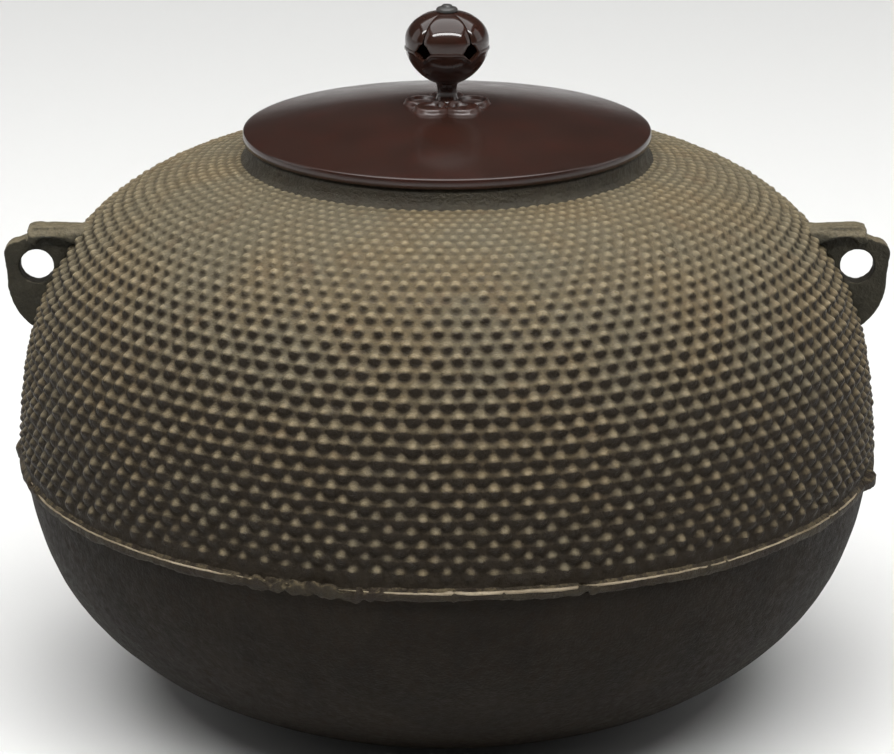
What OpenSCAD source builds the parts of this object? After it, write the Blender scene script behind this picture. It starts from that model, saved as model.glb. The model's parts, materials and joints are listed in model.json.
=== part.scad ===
// Tea-ceremony kettle: a hailstone upper casting on a replaced lower bowl, with a bronze lid.
// Millimetres, +Z up. The origin is the centre of the flat base; the ring lugs lie along X.

/* [Kettle body] */
// Largest radius of the upper casting
body_r = 125; // [115:0.5:135]
// Height of the level where the upper casting's curve is widest
shoulder_base_z = 53; // [50:0.5:56]
// Rise of the shoulder curve above that level
shoulder_h = 111.3; // [108:0.1:116]
// Squareness of the shoulder curve: 2 is an ellipse
shoulder_power = 3.29; // [2.6:0.01:3.6]
// Radius of the lower bowl at its widest
bowl_r = 124.6; // [114.6:0.1:134.6]
// Height of the level where the bowl's curve is widest
bowl_top_z = 85.6; // [82:0.1:89]
// Depth of the bowl's curve below that level
bowl_depth = 89.6; // [89:0.1:91]
// Squareness of the bowl's curve
bowl_power = 2.46; // [2.2:0.01:2.8]
// Thickness of the cast walls
wall = 3.5; // [3:0.1:4.5]
// Thickness of the bowl's flat bottom
floor_t = 4; // [3.5:0.1:5]

/* [Seam between the castings] */
// Height of the joint
seam_z = 71.5; // [66:0.5:78]
// Thickness of the lacquer in the joint
lacquer_t = 0.5; // [0.3:0.1:0.8]
// Height of the bowl's inner lip above the joint
lip_h = 8; // [5:0.5:12]
// How far the broken flange stands out from the wall
flange_out = 1.5; // [1:0.1:3]
// Height of the broken flange
flange_h = 2.4; // [1.5:0.1:4]

/* [Mouth] */
// Outer radius of the neck
neck_r = 58.2; // [55:0.1:60]
// Thickness of the neck wall
neck_t = 4.7; // [4:0.1:6]
// Height of the mouth's rim
mouth_z = 166.8; // [166:0.1:168]

/* [Ring lugs] */
// Distance of each lug's hole from the kettle's axis
lug_x = 119.65; // [119:0.05:121]
// Height of each lug's hole
lug_z = 129; // [127:0.5:131]
// Radius of each lug's hole, which takes a carrying ring
lug_hole_r = 5; // [4.5:0.1:5.2]
// Thickness of the lug's plate
lug_t = 5.5; // [4:0.1:7]
// Width of the hood over the lug
hood_w = 10; // [8:0.5:14]

/* [Lid] */
// Radius of the lid
lid_r = 59.05; // [58.9:0.05:61]
// Gap between the mouth's rim and the lid that rests on it
lid_gap = 0.3; // [0.1:0.05:0.5]
// Height of the lid's upright edge
lid_edge_h = 2.9; // [2.5:0.1:4]
// Rise of the lid's middle above its edge
lid_crown = 6.4; // [5:0.1:8]
// Thickness of the lid plate away from its edge
lid_t = 2.2; // [1.8:0.1:2.6]
// Radial gap between the lid's ring and the mouth
ring_gap = 0.5; // [0.3:0.05:1]
// Thickness of the ring under the lid
ring_t = 2; // [1.5:0.1:3]
// Depth of the ring under the lid
ring_h = 7; // [5:0.5:10]

/* [Knob] */
// Largest radius of the bud
bud_r = 12.25; // [11:0.05:13]
// Height of the bud's widest level above the lid's middle
bud_z = 18; // [17:0.1:19]
// Height of the petals above that level
petal_h = 9.9; // [9:0.1:11]
// Depth of the cup below that level
cup_h = 11.6; // [11:0.1:12]
// Thickness of the bud's hollow shell
bud_t = 1.2; // [1:0.1:1.6]
// Number of petals and of openings
petals = 5; // [5, 6]
// Radius of the stem
stem_r = 2.8; // [2.4:0.1:3.4]
// Radius of the flower seat under the stem
seat_r = 12.4; // [11:0.1:13]
// Thickness of the flower seat
seat_t = 1.2; // [1:0.1:1.6]
// Radius of the pin through the knob
pin_r = 1.25; // [1:0.05:1.5]

/* [Sounding plates] */
// Number of iron plates stuck to the bottom inside
plate_count = 5; // [3:1:7]
// Length, width and thickness of each plate
plate_size = [16, 11, 1.6];
// Distance of the plates from the middle of the bottom
plate_ring_r = 25; // [24:1:34]
// Thickness of the lacquer under each plate
plate_bed_t = 0.8; // [0.4:0.1:1.2]

/* [Hidden] */

round_fn = 180;
small_fn = 72;
curve_steps = 22;
cut = 0.01;

iron_olive = [0.40, 0.37, 0.30];
iron_dark = [0.20, 0.18, 0.16];
bronze_brown = [0.26, 0.16, 0.14];
bronze_dark = [0.16, 0.11, 0.10];
lacquer_brown = [0.45, 0.39, 0.30];

// A Lame curve: its point at angle a, its angle at height h, and its radius at height h.
function lame_point(r, h, p, a) = [r * pow(cos(a), 2 / p), h * pow(sin(a), 2 / p)];
function lame_angle(h, z, p) = asin(pow(z / h, p / 2));
function lame_r(r, h, p, z) = r * pow(1 - pow(z / h, p), 1 / p);
function lame_z(r, h, p, x) = h * pow(1 - pow(x / r, p), 1 / p);

// Points of a Lame curve between two angles, at height z0; side is 1 upwards and -1 downwards.
function lame_arc(r, h, p, z0, side, a0, a1, steps = curve_steps) =
    [for (i = [0 : steps])
        let (q = lame_point(r, h, p, a0 + (a1 - a0) * i / steps))
        [q[0], z0 + side * q[1]]];

// Points of a circular arc.
function arc(x, z, r, a0, a1, steps = 12) =
    [for (i = [0 : steps])
        let (a = a0 + (a1 - a0) * i / steps)
        [x + r * cos(a), z + r * sin(a)]];

function reversed(list) = [for (i = [len(list) - 1 : -1 : 0]) list[i]];

// Upper casting
neck_z = shoulder_base_z + lame_z(body_r, shoulder_h, shoulder_power, neck_r);
mouth_r = neck_r - neck_t;
inner_body_r = body_r - wall;
inner_shoulder_h = shoulder_h - wall;
inner_neck_z = shoulder_base_z
    + lame_z(inner_body_r, inner_shoulder_h, shoulder_power, mouth_r);
rebate_r = inner_body_r - 0.1;
rebate_z = seam_z + lacquer_t + lip_h;
flange_top_z = seam_z + flange_h;
flange_slope_h = 1;

// Lower bowl
bowl_edge_z = seam_z - lacquer_t;
bowl_edge_r = lame_r(bowl_r, bowl_depth, bowl_power, bowl_top_z - bowl_edge_z);
lip_r = rebate_r - lacquer_t;
lip_t = 3.4;
inner_bowl_r = bowl_r - wall;
inner_bowl_depth = bowl_depth - wall;
floor_r = lame_r(inner_bowl_r, inner_bowl_depth, bowl_power, bowl_top_z - floor_t);

// Lid
lid_under_z = mouth_z + lid_gap;
lid_edge_z = lid_under_z + lid_edge_h;
lid_top_z = lid_edge_z + lid_crown;
lid_flat_r = 13.5;
lid_curve_r = lid_r - 0.7;
lid_curve_power = 1.5;
lid_bevel = 0.5;
ring_out_r = mouth_r - ring_gap;
ring_in_r = ring_out_r - ring_t;
function lid_z(r) = lid_edge_z
    + lid_crown * (1 - pow(max(0, r - lid_flat_r) / (lid_curve_r - lid_flat_r), lid_curve_power));

// Knob
seat_top_z = lid_top_z + seat_t;
bud_mid_z = lid_top_z + bud_z;
petal_power = 2.3;
cup_power = 1.78;
button_r = 3.1;
button_h = 2.2;
button_z = bud_mid_z + lame_z(bud_r, petal_h, petal_power, button_r);
stem_top_r = 3.4;
stem_foot_r = 3.8;
stem_top_z = bud_mid_z - lame_z(bud_r, cup_h, cup_power, stem_top_r);
washer_r = 6;
washer_t = 1;
washer_z = lid_top_z - lid_t - washer_t;
peen_r = 2.2;
peen_h = 1.2;

// Solid of revolution inside the upper casting's outer face, for fitting the lugs to it
module body_core() {
    a0 = lame_angle(shoulder_h, seam_z - shoulder_base_z, shoulder_power);
    a1 = lame_angle(shoulder_h, neck_z - shoulder_base_z, shoulder_power);
    rotate_extrude($fn = round_fn)
        polygon(concat(
            [[0, seam_z]],
            lame_arc(body_r, shoulder_h, shoulder_power, shoulder_base_z, 1, a0, a1),
            [[0, neck_z]]));
}

module upper_body() {
    a0 = lame_angle(shoulder_h, flange_top_z - shoulder_base_z, shoulder_power);
    a1 = lame_angle(shoulder_h, neck_z - shoulder_base_z, shoulder_power);
    b0 = lame_angle(inner_shoulder_h, rebate_z - shoulder_base_z, shoulder_power);
    b1 = lame_angle(inner_shoulder_h, inner_neck_z - shoulder_base_z, shoulder_power);
    flange_r = body_r + flange_out;
    color(iron_olive)
    rotate_extrude($fn = round_fn)
        polygon(concat(
            [[rebate_r, seam_z], [flange_r - 0.4, seam_z], [flange_r, seam_z + 0.6],
             [flange_r, flange_top_z - flange_slope_h]],
            lame_arc(body_r, shoulder_h, shoulder_power, shoulder_base_z, 1, a0, a1),
            [[neck_r - 0.2, mouth_z - 0.8], [neck_r - 1, mouth_z], [mouth_r, mouth_z]],
            reversed(lame_arc(inner_body_r, inner_shoulder_h, shoulder_power,
                              shoulder_base_z, 1, b0, b1)),
            [[rebate_r, rebate_z]]));
}

// Plate of a lug in its own plane: a rounded ear outside the hole, tapering to the wall below
module lug_plate() {
    ear_r = 4.2;
    ear_x = 125;
    ear_z = 132.3;
    heel_r = 17.4;
    heel_x = 110.9;
    heel_z = 124.7;
    root_x = 98;
    polygon(concat(
        [[root_x, 112]],
        reversed(arc(heel_x, heel_z, heel_r, -8, -64)),
        [[128.4, 127.5]],
        arc(ear_x, ear_z, ear_r, 0, 92),
        [[120.5, 138.6], [root_x, 138.6]]));
}

// Hood over a lug: a slab that bends down at its outer end
module lug_hood() {
    bend_x = 116.5;
    bend_z = 134.8;
    bend_r = 6.2;
    hood_t = 2.8;
    root_x = 98;
    polygon(concat(
        [[root_x, bend_z + bend_r - hood_t - 0.6]],
        [[root_x, bend_z + bend_r - 0.6]],
        reversed(arc(bend_x, bend_z, bend_r, 18, 90)),
        arc(bend_x, bend_z, bend_r - hood_t, 18, 90)));
}

module lug() {
    color(iron_dark)
    difference() {
        union() {
            rotate([90, 0, 0])
                linear_extrude(height = lug_t, center = true) lug_plate();
            rotate([90, 0, 0])
                linear_extrude(height = hood_w, center = true) lug_hood();
        }
        body_core();
        translate([lug_x, 0, lug_z])
            rotate([90, 0, 0])
                cylinder(h = hood_w + 2, r = lug_hole_r, center = true, $fn = small_fn);
    }
}

module right_lug() {
    lug();
}

module left_lug() {
    mirror([1, 0, 0]) lug();
}

module lower_body() {
    a0 = lame_angle(bowl_depth, bowl_top_z - bowl_edge_z, bowl_power);
    a1 = lame_angle(bowl_depth, bowl_top_z, bowl_power);
    b0 = lame_angle(inner_bowl_depth, bowl_top_z - bowl_edge_z, bowl_power);
    b1 = lame_angle(inner_bowl_depth, bowl_top_z - floor_t, bowl_power);
    color(iron_dark)
    rotate_extrude($fn = round_fn)
        polygon(concat(
            [[0, 0]],
            reversed(lame_arc(bowl_r, bowl_depth, bowl_power, bowl_top_z, -1, a0, a1)),
            [[lip_r, bowl_edge_z], [lip_r, seam_z + lip_h], [lip_r - lip_t, seam_z + lip_h],
             [lip_r - lip_t, bowl_edge_z - 3]],
            lame_arc(inner_bowl_r, inner_bowl_depth, bowl_power, bowl_top_z, -1, b0 + 8, b1),
            [[0, floor_t]]));
}

// Lacquer and iron powder that fill the joint: under the upper casting and round the bowl's lip
module seam_lacquer() {
    color(lacquer_brown)
    rotate_extrude($fn = round_fn)
        polygon([[lip_r, bowl_edge_z], [bowl_edge_r, bowl_edge_z], [bowl_edge_r, seam_z],
                 [rebate_r, seam_z], [rebate_r, rebate_z - lacquer_t],
                 [lip_r, rebate_z - lacquer_t]]);
}

// Places its children round the middle of the bottom, each turned a little differently
module plate_places() {
    for (i = [0 : plate_count - 1])
        rotate([0, 0, i * 360 / plate_count + 11 * sin(i * 97)])
            translate([plate_ring_r, 0, floor_t])
                rotate([0, 0, 90 + 9 * cos(i * 61)])
                    children();
}

module sounding_plates() {
    color(iron_dark)
    plate_places()
        translate([-plate_size[0] / 2, -plate_size[1] / 2, plate_bed_t])
            cube(plate_size);
}

module plate_lacquer() {
    bed = [plate_size[0] - 3, plate_size[1] - 3, plate_bed_t];
    color(lacquer_brown)
    plate_places()
        translate([-bed[0] / 2, -bed[1] / 2, 0])
            cube(bed);
}

module lid_plate() {
    steps = 14;
    step_in = (lid_curve_r - lid_flat_r) / steps;
    under_step = (ring_in_r - lid_flat_r) / steps;
    color(bronze_brown)
    rotate_extrude($fn = round_fn)
        polygon(concat(
            [[pin_r, lid_top_z - lid_t], [pin_r, lid_top_z]],
            [for (i = [0 : steps])
                let (r = lid_flat_r + i * step_in) [r, lid_z(r)]],
            [[lid_r, lid_edge_z - lid_bevel], [lid_r, lid_under_z], [ring_in_r, lid_under_z]],
            [for (i = [steps : -1 : 0])
                let (r = lid_flat_r + i * under_step) [r, lid_z(r) - lid_t]]));
}

module lid_ring() {
    color(bronze_brown)
    translate([0, 0, lid_under_z - ring_h])
        difference() {
            cylinder(h = ring_h, r = ring_out_r, $fn = round_fn);
            translate([0, 0, -1])
                cylinder(h = ring_h + 2, r = ring_in_r, $fn = round_fn);
        }
}

// Flower seat: a disc with a round lobe for each petal
module knob_seat() {
    lobe_r = 0.52 * seat_r;
    color(bronze_dark)
    translate([0, 0, lid_top_z])
        difference() {
            union() {
                cylinder(h = seat_t, r = seat_r - lobe_r, $fn = small_fn);
                for (i = [0 : petals - 1])
                    rotate([0, 0, -90 + (i + 0.5) * 360 / petals])
                        translate([seat_r - lobe_r, 0, 0])
                            cylinder(h = seat_t, r = lobe_r, $fn = small_fn);
            }
            translate([0, 0, -1])
                cylinder(h = seat_t + 2, r = pin_r, $fn = small_fn);
        }
}

// Spade-shaped cutters for the bud's openings, half in the cup and half between the petals
module bud_openings() {
    for (i = [0 : petals - 1])
        rotate([0, 0, -90 + (i + 0.5) * 360 / petals])
            translate([bud_r / 2, 0, bud_mid_z])
                rotate([90, 0, 90])
                    linear_extrude(height = bud_r)
                        polygon([[0, -1.9], [2.5, 0.5], [1.9, 1.7], [0.7, 2.5], [0.25, 6],
                                 [-0.25, 6], [-0.7, 2.5], [-1.9, 1.7], [-2.5, 0.5]]);
}

module knob_cup() {
    inner_r = bud_r - bud_t;
    inner_h = cup_h - bud_t;
    a1 = lame_angle(cup_h, bud_mid_z - stem_top_z, cup_power);
    b1 = 62;
    color(bronze_dark)
    difference() {
        rotate_extrude($fn = small_fn)
            polygon(concat(
                [[pin_r, seat_top_z], [stem_foot_r, seat_top_z], [stem_r, seat_top_z + 1.6],
                 [stem_r, stem_top_z - 1.5]],
                reversed(lame_arc(bud_r, cup_h, cup_power, bud_mid_z, -1, 0, a1, 14)),
                lame_arc(inner_r, inner_h, cup_power, bud_mid_z, -1, 0, b1, 10),
                [[pin_r, bud_mid_z - lame_point(inner_r, inner_h, cup_power, b1)[1]]]));
        bud_openings();
    }
}

module knob_petals() {
    inner_r = bud_r - bud_t;
    inner_h = petal_h - bud_t;
    a1 = lame_angle(petal_h, button_z - bud_mid_z, petal_power);
    b1 = 76;
    color(bronze_dark)
    difference() {
        rotate_extrude($fn = small_fn)
            polygon(concat(
                [[inner_r, bud_mid_z]],
                lame_arc(bud_r, petal_h, petal_power, bud_mid_z, 1, 0, a1, 14),
                [[pin_r, button_z]],
                [[pin_r, bud_mid_z + lame_point(inner_r, inner_h, petal_power, b1)[1]]],
                reversed(lame_arc(inner_r, inner_h, petal_power, bud_mid_z, 1, 4, b1, 10))));
        bud_openings();
    }
}

// Pin with a button head: it holds petals, cup, stem, seat and lid together
module knob_pin() {
    color(bronze_dark)
    rotate_extrude($fn = small_fn)
        polygon(concat(
            [[0, washer_z - peen_h], [peen_r - 0.6, washer_z - peen_h],
             [peen_r, washer_z - peen_h + 0.6], [peen_r, washer_z], [pin_r, washer_z],
             [pin_r, button_z]],
            lame_arc(button_r, button_h, 2, button_z, 1, 0, 90, 8)));
}

module pin_washer() {
    color(bronze_brown)
    translate([0, 0, washer_z])
        difference() {
            cylinder(h = washer_t, r = washer_r, $fn = small_fn);
            translate([0, 0, -1])
                cylinder(h = washer_t + 2, r = pin_r, $fn = small_fn);
        }
}

upper_body();
left_lug();
right_lug();
lower_body();
seam_lacquer();
sounding_plates();
plate_lacquer();
lid_plate();
lid_ring();
knob_seat();
knob_cup();
knob_petals();
knob_pin();
pin_washer();
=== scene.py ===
"""The looks of a tea-ceremony kettle: hailstone casting, seam, bowl, ring lugs, bronze lid and bud knob.

Lengths inside the functions are millimetres in the kettle's own frame: the axis is Z, the front is -Y.
"""

import bisect
import json
import math
import random

import bmesh
import bpy
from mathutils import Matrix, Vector, noise


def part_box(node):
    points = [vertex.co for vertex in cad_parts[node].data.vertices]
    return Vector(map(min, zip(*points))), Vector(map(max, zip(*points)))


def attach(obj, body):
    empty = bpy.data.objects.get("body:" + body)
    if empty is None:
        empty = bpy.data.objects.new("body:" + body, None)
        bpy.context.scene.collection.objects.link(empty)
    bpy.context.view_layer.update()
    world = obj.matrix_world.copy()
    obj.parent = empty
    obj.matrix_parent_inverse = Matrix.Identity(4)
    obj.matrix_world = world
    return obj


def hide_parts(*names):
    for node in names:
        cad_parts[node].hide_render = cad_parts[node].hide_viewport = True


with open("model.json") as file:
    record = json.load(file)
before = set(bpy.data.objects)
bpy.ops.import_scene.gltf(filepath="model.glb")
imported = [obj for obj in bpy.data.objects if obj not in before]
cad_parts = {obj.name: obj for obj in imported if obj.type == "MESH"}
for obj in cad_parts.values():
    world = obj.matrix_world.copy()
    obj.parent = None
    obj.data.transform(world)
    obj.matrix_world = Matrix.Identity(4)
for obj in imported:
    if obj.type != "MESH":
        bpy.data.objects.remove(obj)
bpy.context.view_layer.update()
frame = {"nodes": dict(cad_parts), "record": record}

bl_info = {
    "name": "Tea Kettle Builder",
    "version": (1, 0, 0),
    "blender": (4, 5, 0),
    "location": "View3D > Sidebar > Kettle",
    "description": "Models a cast-iron tea kettle with a bronze lid around its packed frame",
    "category": "Object",
}

MM = 0.001


# ---------------------------------------------------------------- sizes from the frame

def node_box(node):
    """Lowest and highest corner of a CAD node, in millimetres."""
    low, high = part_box(node)
    return low / MM, high / MM


upper_low, upper_high = node_box("upper_body")
lid_low, lid_high = node_box("lid_plate")
pin_low, pin_high = node_box("knob_pin")

SEAM_Z = upper_low.z
FLANGE_R = upper_high.y
FLANGE_TOP_Z = SEAM_Z + 2.4
MOUTH_Z = upper_high.z
BODY_R = FLANGE_R - 1.5
SEAT_TOP_Z = node_box("knob_seat")[1].z
BUD_R = node_box("knob_petals")[1].y
BUD_MID_Z = node_box("knob_cup")[1].z


# ---------------------------------------------------------------- curves

def squared_r(radius, rise, power, height):
    """Radius of a squared ellipse at a height above its widest level."""
    return radius * (1 - min(1, abs(height) / rise) ** power) ** (1 / power)


def squared_z(radius, rise, power, r):
    """Height of a squared ellipse above its widest level, at a radius."""
    return rise * (1 - (r / radius) ** power) ** (1 / power)


def spread(low, high, count):
    """Evenly spaced numbers from low to high, with count steps between them."""
    return [low + (high - low) * i / count for i in range(count + 1)]


def squared_arc(radius, rise, power, low, high, count):
    """Points (radius, height) of a squared ellipse between two heights above its widest level."""
    start = math.asin((low / rise) ** (power / 2))
    end = math.asin(min(1, high / rise) ** (power / 2))
    return [(radius * math.cos(angle) ** (2 / power), rise * math.sin(angle) ** (2 / power))
            for angle in spread(start, end, count)]


def smooth(t):
    """Eased step from 0 to 1."""
    t = max(0.0, min(1.0, t))
    return t * t * (3 - 2 * t)


def hump(distance, width):
    """A soft round hump of height 1 that ends at a distance of width."""
    t = min(1.0, abs(distance) / width)
    return (1 - t * t) ** 2


def wrapped(angle):
    """An angle in radians brought into -pi to pi."""
    return (angle + math.pi) % (2 * math.pi) - math.pi


def grain(x, y, z, size, seed=0.0):
    """Smooth noise from -1 to 1 whose features are about size across."""
    return noise.noise(Vector((x / size + seed, y / size - seed, z / size + 2 * seed)))


def ring_grain(azimuth, size, seed, z=0.0):
    """Smooth noise from -1 to 1 that runs round the axis; its size is a share of the radius."""
    return grain(math.cos(azimuth), math.sin(azimuth), z, size, seed)


# ---------------------------------------------------------------- sizes of the castings

# The upper casting: widest level, rise and squareness of its outline, then its wall, neck and mouth
SHOULDER_BASE_Z = 53.0
SHOULDER_RISE = 111.3
SHOULDER_POWER = 3.29
WALL = 3.5
NECK_R = 58.2
MOUTH_R = 53.5
NECK_Z = SHOULDER_BASE_Z + squared_z(BODY_R, SHOULDER_RISE, SHOULDER_POWER, NECK_R)
INNER_NECK_Z = SHOULDER_BASE_Z + squared_z(BODY_R - WALL, SHOULDER_RISE - WALL, SHOULDER_POWER, MOUTH_R)

# The lower bowl
BOWL_R = 124.6
BOWL_TOP_Z = 85.6
BOWL_DEPTH = 89.6
BOWL_POWER = 2.46
BOWL_EDGE_Z = SEAM_Z - 0.5
FLOOR_Z = 4.0

# The bowl's lip, which stands up inside the upper casting, and the film of lacquer round it
LIP_R = 120.9
LIP_T = 3.4
LIP_TOP_Z = SEAM_Z + 8.0
FILM_T = 0.48
FILM_TOP_Z = LIP_TOP_Z + 0.2


# Steps round the axis of the neck and of the lid
ROUND_STEPS = 256


# ---------------------------------------------------------------- mesh helpers

def to_piece(name, bm, body, slot, node, sharp=40, look=None):
    """Turns a bmesh into a finished piece that rides on a body and stands for a CAD node."""
    mesh = bpy.data.meshes.new(name)
    bm.to_mesh(mesh)
    bm.free()
    mesh.shade_smooth()
    mesh.set_sharp_from_angle(angle=math.radians(sharp))
    piece = bpy.data.objects.new(name, mesh)
    bpy.context.scene.collection.objects.link(piece)
    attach(piece, body)
    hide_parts(node)
    piece.data.materials.append(finish(look or slot))
    return piece


def polar(vert):
    """Azimuth in radians, and radius and height in millimetres, of a vertex."""
    x, y, z = vert.co / MM
    return math.atan2(y, x), math.hypot(x, y), z


def place(vert, azimuth, r, z):
    """Puts a vertex at an azimuth, radius and height."""
    vert.co = Vector((r * math.cos(azimuth), r * math.sin(azimuth), z)) * MM


def close_up(bm):
    """Merges doubles and turns every face outwards."""
    bmesh.ops.remove_doubles(bm, verts=bm.verts, dist=1e-6)
    bmesh.ops.recalc_face_normals(bm, faces=bm.faces)


def turned(outline, steps, shape=None, closed=True):
    """Spins an outline of (radius, height) points round the axis. shape moves each point."""
    bm = bmesh.new()
    index = bm.verts.layers.int.new("outline_point")
    verts = []
    for i, (r, z) in enumerate(outline):
        vert = bm.verts.new(Vector((r, 0, z)) * MM)
        vert[index] = i
        verts.append(vert)
    pairs = list(zip(verts, verts[1:]))
    if closed:
        pairs.append((verts[-1], verts[0]))
    edges = [bm.edges.new(pair) for pair in pairs]
    bmesh.ops.spin(bm, geom=verts + edges, cent=(0, 0, 0), axis=(0, 0, 1), dvec=(0, 0, 0),
                   angle=2 * math.pi, steps=steps, use_merge=True)
    if shape:
        for vert in bm.verts:
            azimuth, r, z = polar(vert)
            place(vert, azimuth, *shape(azimuth, r, z, vert[index]))
    close_up(bm)
    return bm


def wrapped_grid(outline, columns, shape, closed=True, attributes=()):
    """A fine grid wrapped round the axis: its columns go round, and its rows follow the outline.

    shape gives each point's radius and height, and then a value for each attribute.
    """
    rows = len(outline) if closed else len(outline) - 1
    bm = bmesh.new()
    bmesh.ops.create_grid(bm, x_segments=columns, y_segments=rows, size=0.5)
    for name in attributes:
        bm.verts.layers.float.new(name)
    layers = [bm.verts.layers.float[name] for name in attributes]
    for vert in bm.verts:
        column = round((vert.co.x + 0.5) * columns) % columns
        row = round((vert.co.y + 0.5) * rows) % len(outline)
        azimuth = wrapped(2 * math.pi * column / columns)
        r, z, *values = shape(azimuth, *outline[row], row)
        for layer, value in zip(layers, values):
            vert[layer] = value
        place(vert, azimuth, r, z)
    close_up(bm)
    return bm


def cast_copy(node, voxel, rounds):
    """A copy of a CAD node's shape with the soft edges of a casting."""
    mesh = frame["nodes"][node].data.copy()
    bm = bmesh.new()
    bm.from_mesh(mesh)
    bmesh.ops.remove_doubles(bm, verts=bm.verts, dist=1e-6)
    bm.to_mesh(mesh)
    bm.free()
    rough = bpy.data.objects.new("rough_" + node, mesh)
    bpy.context.scene.collection.objects.link(rough)
    remesh = rough.modifiers.new("even_grain", "REMESH")
    remesh.mode = "VOXEL"
    remesh.voxel_size = voxel * MM
    bpy.context.view_layer.update()
    even = rough.evaluated_get(bpy.context.evaluated_depsgraph_get()).to_mesh()
    bm = bmesh.new()
    bm.from_mesh(even)
    bpy.data.objects.remove(rough)
    for _ in range(rounds):
        bmesh.ops.smooth_vert(
            bm, verts=bm.verts, factor=0.5, use_axis_x=True, use_axis_y=True, use_axis_z=True)
    return bm


# ---------------------------------------------------------------- hailstones

class Hailstones:
    """Rows of small round bumps on the upper casting, each row half a stone round from the last.

    Spacings, radii, drops and jitter are shares of the pitch, the distance between stones in a ring.
    """

    FIRST_ROW_Z = 78.0
    LAST_GAP = 0.9
    TRACE_STEPS = 900
    LOW_SPACING = 0.58
    HIGH_SPACING = 0.85
    LOW_RADIUS = 0.38
    RADIUS_GAIN = 0.09
    # The HOLLOW sizes set the pit carved under each stone, and the painted shadow in it.
    HOLLOW_DROP = 0.35
    HOLLOW_RADIUS = 0.37
    HOLLOW_SQUASH = (0.8, 1.2)
    PLACE_JITTER = 0.05
    RADIUS_JITTER = 0.09
    HEIGHT_JITTER = 0.18
    ROUNDNESS = 0.8
    FADE = 0.62
    FADE_START = 0.40
    FADE_SPAN = 0.55
    SEED = 41

    def __init__(self, settings):
        self.per_ring = settings.stones_per_ring
        self.lift = settings.stone_lift / MM
        arc = squared_arc(BODY_R, SHOULDER_RISE, SHOULDER_POWER,
                          FLANGE_TOP_Z - SHOULDER_BASE_Z, NECK_Z - SHOULDER_BASE_Z, self.TRACE_STEPS)
        self.trace = [(r, SHOULDER_BASE_Z + z) for r, z in arc]
        self.lengths = [0.0]
        for (r0, z0), (r1, z1) in zip(self.trace, self.trace[1:]):
            self.lengths.append(self.lengths[-1] + math.hypot(r1 - r0, z1 - z0))
        self.rows = self.spaced_rows()
        chance = random.Random(self.SEED)
        self.luck = [[[chance.uniform(-1, 1) for _ in range(4)] for _ in range(self.per_ring)]
                     for _ in self.rows]

    def at(self, length):
        """Radius, height and outward direction of the outline at a length along it."""
        i = max(1, min(len(self.lengths) - 1, bisect.bisect(self.lengths, length)))
        (r0, z0), (r1, z1) = self.trace[i - 1], self.trace[i]
        span = self.lengths[i] - self.lengths[i - 1]
        t = (length - self.lengths[i - 1]) / span
        return r0 + (r1 - r0) * t, z0 + (z1 - z0) * t, (z1 - z0) / span, (r0 - r1) / span

    def pitch(self, length):
        """Distance between the stones of a ring, at a length along the outline."""
        return 2 * math.pi * self.at(length)[0] / self.per_ring

    def spaced_rows(self):
        """Lengths along the outline at which the rows lie, closer together at the bottom."""
        heights = [z for _, z in self.trace]
        length = self.lengths[bisect.bisect(heights, self.FIRST_ROW_Z)]
        last = self.lengths[-1] - self.LAST_GAP
        whole = last - length
        start = length
        rows = []
        while length < last:
            rows.append(length)
            share = (length - start) / whole
            length += (self.LOW_SPACING + (self.HIGH_SPACING - self.LOW_SPACING) * share) * self.pitch(length)
        return rows

    def stone(self, azimuth, length, near_row):
        """How far the surface stands out, and how deep it lies in the hollow under a stone, from 0 to 1."""
        best = hollow = 0.0
        for row in (near_row - 1, near_row, near_row + 1):
            if not 0 <= row < len(self.rows):
                continue
            pitch = self.pitch(self.rows[row])
            place_in_row = azimuth / (2 * math.pi) * self.per_ring - 0.5 * (row % 2)
            number = round(place_in_row)
            luck = self.luck[row][number % self.per_ring]
            jitter = self.PLACE_JITTER * pitch
            across = (place_in_row - number) * pitch - jitter * luck[0]
            along = length - self.rows[row] - jitter * luck[1]
            share = row / (len(self.rows) - 1)
            radius = pitch * (self.LOW_RADIUS + self.RADIUS_GAIN * share) * (1 + self.RADIUS_JITTER * luck[2])
            height = hump(math.hypot(across, along), radius) ** self.ROUNDNESS
            best = max(best, height * (1 + self.HEIGHT_JITTER * luck[3]))
            wide, high = self.HOLLOW_SQUASH
            off = math.hypot(across * wide, (along + self.HOLLOW_DROP * pitch) * high)
            hollow = max(hollow, hump(off, self.HOLLOW_RADIUS * pitch))
        return best, hollow

    def lift_at(self, length):
        """Height of the stones: full on the side, lower towards the neck."""
        share = (length - self.rows[0]) / (self.rows[-1] - self.rows[0])
        return self.lift * (1 - self.FADE * smooth((share - self.FADE_START) / self.FADE_SPAN))


def inner_wall_r(z):
    """Radius of the upper casting's inner face at a height."""
    return max(MOUTH_R, squared_r(BODY_R - WALL, SHOULDER_RISE - WALL, SHOULDER_POWER, z - SHOULDER_BASE_Z))


# How far the end of each hailstone ring goes straight in before it turns to the inner wall
TUCK = 1.0
# Mesh rows below the first row of stones, between two rows, above the last row, and on the inner wall
FOOT_MARKS = (0.0, 1.6, 3.0)
STEPS_PER_ROW = 7
STEPS_TO_NECK = 6
INNER_STEPS = 8
HOLLOW_DEPTH = 0.24


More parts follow.
